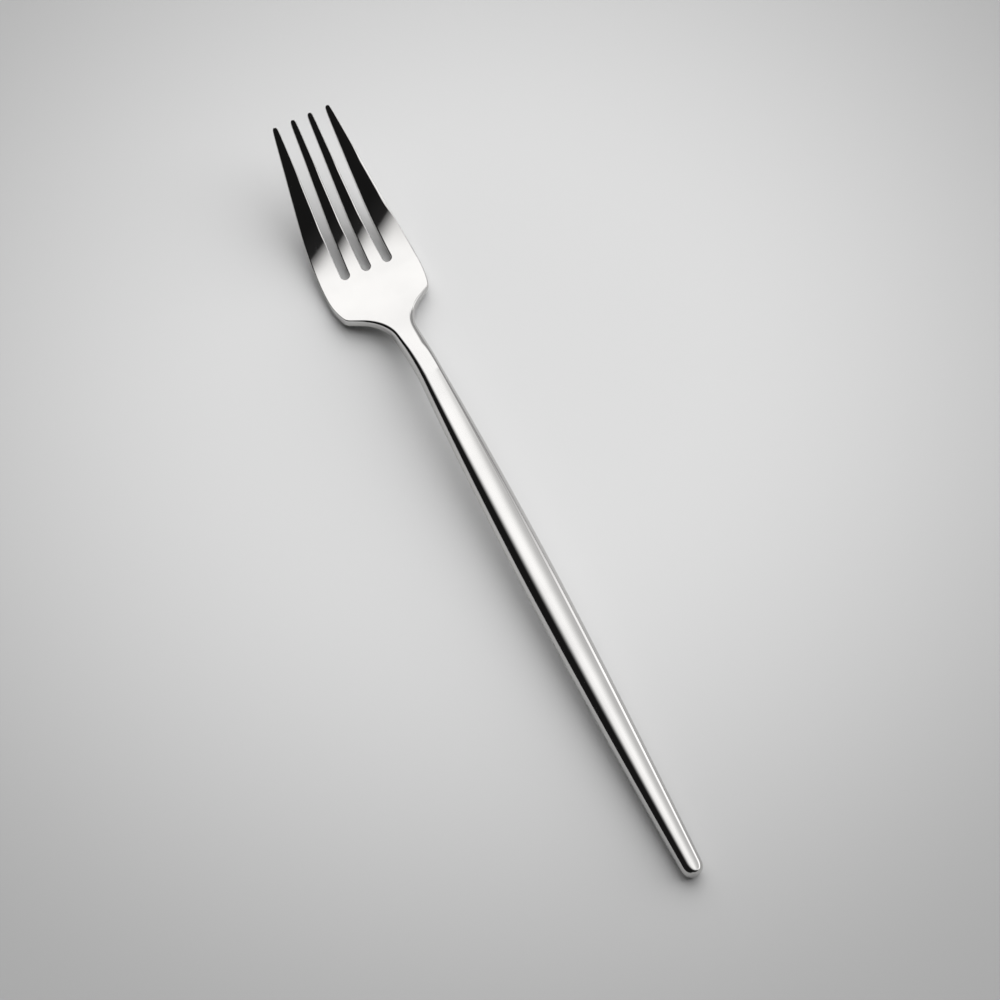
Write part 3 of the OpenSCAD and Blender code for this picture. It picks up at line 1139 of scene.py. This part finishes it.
    @staticmethod
    def _inside(rim: np.ndarray, grid: np.ndarray) -> np.ndarray:
        """Says which grid points lie inside a closed plan, by counting the edges to one side.

        Args:
            rim: The closed plan.
            grid: Points to test.

        Returns:
            True for each point inside.
        """
        ahead = np.roll(rim, -1, axis=0)
        crosses = (rim[:, 1] > grid[:, None, 1]) != (ahead[:, 1] > grid[:, None, 1])
        rise = np.where(ahead[:, 1] == rim[:, 1], 1.0, ahead[:, 1] - rim[:, 1])
        at = rim[:, 0] + (grid[:, None, 1] - rim[:, 1]) / rise * (ahead[:, 0] - rim[:, 0])
        return np.sum(crosses & (grid[:, None, 0] < at), axis=1) % 2 == 1

    def _joint_ring(self, bands: dict[float, np.ndarray]) -> np.ndarray:
        """Numbers of the points round the joint, from the two ends of each rounded edge."""
        upper, lower = bands[1.0], bands[-1.0]
        return np.concatenate([upper[0], upper[-1][::-1], lower[-1], lower[0][::-1]])

    def _tang_rings(self, count: int) -> list[np.ndarray]:
        """Rings of the spigot and of the notched tang behind it, in the handle's own axes.

        Args:
            count: Number of points in each ring.

        Returns:
            The rings, from the joint to the end of the tang.
        """
        quarter = count // 4
        turn = np.linspace(0.0, QUARTER, quarter)
        gap = self.handle.shell_wall + self.fit_clearance
        soft = self.handle.joint_squareness

        def ring(x: float, width: float, thickness: float, power: float) -> np.ndarray:
            """Draws one closed ring, in the order of the joint's own points.

            Args:
                x: Distance behind the joint.
                width: Half width.
                thickness: Half thickness.
                power: Squareness of the ring.

            Returns:
                The points of the ring.
            """
            across = width * np.abs(np.cos(turn)) ** (2.0 / power)
            across[-1] = 0.0
            above = thickness * np.sin(turn) ** (1.0 if power == soft else 2.0 / power)
            y = np.concatenate([across, -across[::-1], -across, across[::-1]])
            z = np.concatenate([above, above[::-1], -above, -above[::-1]])
            return np.stack([np.full(count, x), y, z], axis=-1)

        width = self.handle.joint_width / 2 - gap
        thickness = self.handle.joint_thickness / 2 - gap
        rings = [ring(0.0, width, thickness, soft), ring(self.spigot_length, width, thickness, soft)]
        narrow = self.tang_width / 2 - self.notch_depth
        stops = [(self.spigot_length, self.tang_width / 2)]
        for i in range(1, self.notch_count + 1):
            middle = self.spigot_length + i * self.notch_pitch
            for end, inside in ((-0.5, False), (0.5, True)):
                at = middle + end * self.notch_length
                pair = [(at, self.tang_width / 2), (at, narrow)]
                stops.extend(pair[::-1] if inside else pair)
        stops.append((self.spigot_length + self.tang_length, self.tang_width / 2))
        thickness = self.tang_thickness / 2
        rings.extend(ring(x, half, thickness, self.tang_squareness) for x, half in stops)
        return rings

    def forging(self, name: str) -> bpy.types.Object:
        """Makes the whole head.

        Args:
            name: Name of the new object.

        Returns:
            The head, a closed mesh with its spigot and tang.
        """
        outline = self.outline()
        draft = MeshDraft()
        bands: dict[float, np.ndarray] = {}
        for face in (1.0, -1.0):
            points, normals, rim = self._rounded_edge(outline, face)
            bands[face] = draft.add(points, normals)
            draft.skin(bands[face])
            grid, triangles = self._filled(rim)
            station = grid[:, 0]
            inner = draft.add(
                self.placed(station, grid[:, 1], face * self.half_thickness(station)),
                self.face_normals(station, grid[:, 1], face),
            )
            numbers = np.concatenate([bands[face][:, -1], inner])
            for triangle in triangles:
                draft.face(tuple(numbers[list(triangle)]))
        draft.skin(np.stack([bands[1.0][:, 0], bands[-1.0][:, 0]], axis=1))
        ring = self._joint_ring(bands)
        rings = [ring] + [draft.add(self.handle.in_frame(r)) for r in self._tang_rings(len(ring))]
        backward = self.handle.in_frame(np.array([1.0, 0.0, 0.0]), True)
        self._close_step(draft, rings[0], rings[1], backward)
        draft.tube(rings[1], rings[2])
        self._close_step(draft, rings[2], rings[3], backward)
        # Along the tang a stretch, a step into a notch, a stretch and a step out of it take turns
        for i, (first, second) in enumerate(zip(rings[3:-1], rings[4:])):
            if i % 2:
                self._close_step(draft, first, second, backward if i % 4 == 1 else -backward)
            else:
                draft.tube(first, second)
        draft.face(tuple(rings[-1]), backward)
        return draft.piece(name)

    @staticmethod
    def _close_step(draft: MeshDraft, outer: np.ndarray, inner: np.ndarray, facing: np.ndarray) -> None:
        """Closes the flat step between two rings that lie in one plane."""
        draft.strip(np.append(outer, outer[0]), np.append(inner, inner[0]), facing)


@dataclass(frozen=True)
class Surroundings:
    """Soft studio round the fork: a panel above, a dark flag, and low light on the right and behind.

    Each pair of numbers is where the edge of a light starts and where the light is full.
    """

    dark_light: float = 0.013
    skyline: tuple = (0.0, 0.02)
    panel_light: float = 1.64
    panel_left: tuple = (math.radians(45.0), math.radians(12.0))
    panel_far: tuple = (math.radians(86.0), math.radians(68.0))
    panel_course: tuple = (0.895, 0.446)
    panel_near: tuple = (-0.24, 0.1)
    panel_near_share: float = 0.85
    panel_heart: tuple = (0.02, 0.25)
    panel_heart_share: float = 0.15
    panel_cut: tuple = (-0.195, -0.175)
    spill: tuple = (-0.6, -0.2)
    spill_share: float = 0.006
    flag_depth: float = 0.5
    flag_right: tuple = (-0.08, -0.8)
    flag_back: tuple = (-0.4, 0.0)
    flag_front: tuple = (0.39, 0.29)
    low_light: float = 0.45
    low_top: tuple = (0.47, 0.35)
    low_right: tuple = (-0.2, -0.42)
    back_top: tuple = (0.5, 0.35)
    back_reach: tuple = (-0.45, -0.7)
    strip_light: float = 1.5
    strip_top: tuple = (math.sin(math.radians(26.0)), math.sin(math.radians(15.0)))
    strip_front: tuple = (0.342, 0.24)
    strip_back: tuple = (-0.5, -0.25)
    strip_right: tuple = (-0.3, -0.6)

    def _panel(self, x: Signal, y: Signal, z: Signal) -> Signal:
        """Draws the broad panel above, with its soft edges and the flag that dims it on the right.

        Args:
            x: Direction along +X.
            y: Direction along +Y.
            z: Direction upward.

        Returns:
            The panel's light.
        """
        flag = y.eased(*self.flag_right) * x.eased(*self.flag_back) * x.eased(*self.flag_front)
        left_edge = y.angle_over(z).eased(*self.panel_left)
        far_edge = x.angle_over(z).eased(*self.panel_far)
        along, across = self.panel_course
        reach = (along * x - across * y) / z
        near_edge = self.panel_near_share * reach.eased(*self.panel_near)
        near_edge = near_edge + self.panel_heart_share * reach.eased(*self.panel_heart)
        near_edge = near_edge * reach.eased(*self.panel_cut) + self.spill_share * reach.eased(*self.spill)
        return self.panel_light * left_edge * near_edge * (1.0 - self.flag_depth * flag) * far_edge

    def draw(self) -> None:
        """Draws the light into a new world."""
        world = bpy.data.worlds.new("studio")
        bpy.context.scene.world = world
        world.use_nodes = True
        sheet = NodeSheet(world.node_tree)
        place = sheet.node("ShaderNodeTexCoord", output="Generated")
        x, y, z = (sheet.node("ShaderNodeSeparateXYZ", None, {0: place}, output=axis) for axis in "XYZ")
        low = z.eased(*self.low_top) * y.eased(*self.low_right)
        panel = self._panel(x, y, z) * (1.0 - low)
        strip = z.eased(*self.strip_top) * x.eased(*self.strip_front)
        strip = strip * x.eased(*self.strip_back) * y.eased(*self.strip_right)
        back = x.eased(*self.back_reach) * z.eased(*self.back_top)
        soft = self.low_light * (low + back * (1.0 - low))
        level = self.dark_light + (panel + soft + self.strip_light * strip) * z.eased(*self.skyline)
        white = {"Color": (1.0, 1.0, 1.0, 1.0), "Strength": level}
        light = sheet.node("ShaderNodeBackground", None, white)
        sheet.node("ShaderNodeOutputWorld", None, {"Surface": light})


@dataclass(frozen=True)
class Studio:
    """Pale floor, soft key light and the camera of the product view."""

    camera_heading: float = math.radians(153.58)
    camera_elevation: float = math.radians(66.105)
    distance: float = 1.0047
    target: tuple = (0.00053, -0.00185, 0.0)
    view_angle: float = math.radians(12.0)
    clip_span: float = 100.0
    floor_radius: float = 3.0
    floor_points: int = 96
    sun_light: float = 1.86
    sun_heading: float = math.radians(290.0)
    sun_elevation: float = math.radians(39.0)
    sun_size: float = math.radians(90.0)

    def camera(self) -> None:
        """Makes the camera at the product view's angle."""
        lens = bpy.data.cameras.new("product_camera")
        lens.angle = self.view_angle
        lens.clip_start = self.distance / self.clip_span
        lens.clip_end = self.distance * self.clip_span
        back = direction(self.camera_heading, self.camera_elevation)
        camera = linked("product_camera", lens)
        camera.location = Vector(self.target) + back * self.distance
        camera.rotation_euler = (-back).to_track_quat("-Z", "Y").to_euler()
        bpy.context.scene.camera = camera

    def floor(self, finish: FloorFinish) -> None:
        """Lays the floor just under the fork.

        Args:
            finish: Finish of the floor.
        """
        turns = [2 * math.pi * i / self.floor_points for i in range(self.floor_points)]
        points = [(self.floor_radius * math.cos(t), self.floor_radius * math.sin(t), 0.0) for t in turns]
        mesh = bpy.data.meshes.new("floor")
        mesh.from_pydata(points, [], [tuple(range(self.floor_points))])
        mesh.materials.append(finish.material())
        floor = linked("floor", mesh)

    def sun(self) -> None:
        """Hangs the soft key light, which lights the floor and the shadow but shows in no reflection."""
        lamp = bpy.data.lights.new("soft_key", "SUN")
        lamp.energy = self.sun_light
        lamp.angle = self.sun_size
        key = linked("soft_key", lamp)
        toward = direction(self.sun_heading, self.sun_elevation)
        key.rotation_euler = toward.to_track_quat("Z", "Y").to_euler()
        key.visible_glossy = False


@dataclass(frozen=True)
class SaladFork:
    """The whole fork: head, two handle shells and the filler core."""

    handle: Handle = field(default_factory=Handle)
    head: ForkHead = field(default_factory=ForkHead)

    def build(self) -> None:
        """Builds and dresses every piece."""
        steel = SteelFinish().material()
        pieces = {
            "fork_head": self.head.forging("polished_head"),
            "handle_upper_shell": self.handle.shell(Half.UPPER, "polished_upper_shell"),
            "handle_lower_shell": self.handle.shell(Half.LOWER, "polished_lower_shell"),
        }
        for node, piece in pieces.items():
            piece.data.materials.append(steel)
            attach(piece, BODY)
            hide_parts(node)
            log.info("%s stands for %s with %d faces", piece.name, node, len(piece.data.polygons))
        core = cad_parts["handle_core"]
        core.data.materials.clear()
        core.data.materials.append(FillerFinish().material())
        log.info("%s keeps its solid", core.name)


def main() -> None:
    """Builds the fork and its studio."""
    logging.basicConfig(level=logging.INFO, format="%(name)s: %(message)s")
    bpy.context.scene.view_settings.view_transform = "Standard"
    SaladFork().build()
    studio = Studio()
    studio.floor(FloorFinish())
    Surroundings().draw()
    studio.sun()
    studio.camera()


if __name__ == "__main__":
    main()
